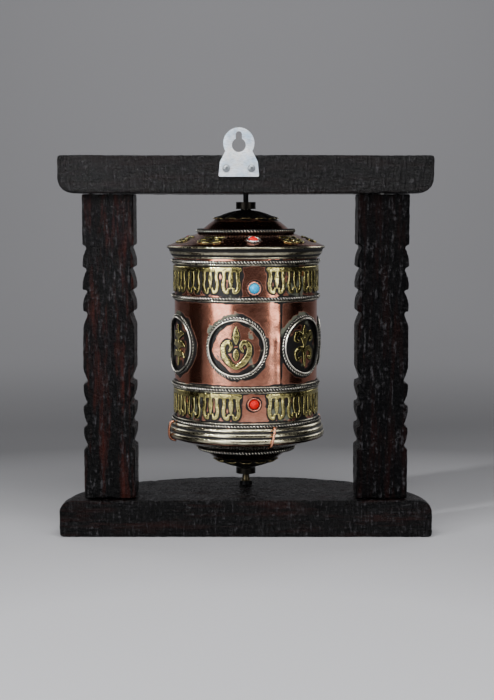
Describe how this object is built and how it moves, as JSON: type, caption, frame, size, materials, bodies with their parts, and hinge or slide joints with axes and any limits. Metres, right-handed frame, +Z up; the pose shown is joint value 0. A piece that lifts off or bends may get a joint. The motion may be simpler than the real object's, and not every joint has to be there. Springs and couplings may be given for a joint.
{
  "type": "prayer wheel",
  "caption": "Copper drum on an upright rod, turning freely between two half-moon wooden boards joined by carved posts, with a keyhole plate for hanging.",
  "frame": {"origin": "on the floor, in the underside of the base board, on the wheel's spin axis", "axes": "+Z up along the spin axis; -Y is the flat side of the frame with the hanger plate; +X is to the right of a viewer who faces that flat side"},
  "size_m": [0.278, 0.1294, 0.302],
  "materials": {
    "dark_wood": "dark stain, semi-gloss",
    "steel": "plain",
    "zinc": "bright zinc plate",
    "black_iron": "blackened",
    "brass": "pale, lightly tarnished",
    "black_brass": "blackened",
    "copper": "copper, polished with dark tarnish",
    "white_metal": "white brass with black patina",
    "paper": "rolled paper",
    "cotton": "twisted cord",
    "turquoise": "polished cabochon",
    "coral": "polished cabochon"
  },
  "bodies": {
    "frame": {"base_board": "dark_wood", "left_post": "dark_wood", "right_post": "dark_wood", "top_board": "dark_wood", "top_screws": "steel", "base_screws": "steel", "hanger_plate": "zinc", "hanger_nails": "zinc", "axle_rod": "black_iron", "axle_washer": "black_iron", "pivot_bead": "brass"},
    "wheel": {"drum_shell": "copper", "axle_tube": "brass", "prayer_scroll": "paper", "scroll_cords": "cotton", "top_lid": "copper", "top_dome": "copper", "top_petal_cap": "black_brass", "top_collar": "black_brass", "bottom_lid": "copper", "bottom_dome": "copper", "bottom_petal_cap": "black_brass", "bottom_collar": "black_brass", "top_rim": "white_metal", "bottom_rim": "white_metal", "top_crown_rope": "white_metal", "bottom_crown_rope": "white_metal", "first_trim_rope": "white_metal", "first_trim_wires": "white_metal", "second_trim_rope": "white_metal", "second_trim_wires": "white_metal", "third_trim_rope": "white_metal", "third_trim_wires": "white_metal", "fourth_trim_rope": "white_metal", "fourth_trim_wires": "white_metal", "upper_fret_panel_1": "brass", "upper_fret_panel_2": "brass", "upper_fret_panel_3": "brass", "lower_fret_panel_1": "brass", "lower_fret_panel_2": "brass", "lower_fret_panel_3": "brass", "medallion_hoops": "white_metal", "medallion_ropes": "white_metal", "medallion_motif_1": "brass", "medallion_motif_2": "brass", "medallion_motif_3": "brass", "medallion_motif_4": "brass", "medallion_motif_5": "brass", "medallion_motif_6": "brass", "turquoise_stones": "turquoise", "turquoise_bezels": "copper", "coral_stones": "coral", "coral_bezels": "copper", "lid_stones": "coral", "lid_bezels": "white_metal", "lid_motifs": "brass", "rim_ties": "copper"}
  },
  "joints": [
    {"name": "wheel_spin", "type": "hinge", "parent": "frame", "child": "wheel", "pos_m": [0, 0, 0.03], "axis": [0, 0, 1], "continuous": true}
  ]
}
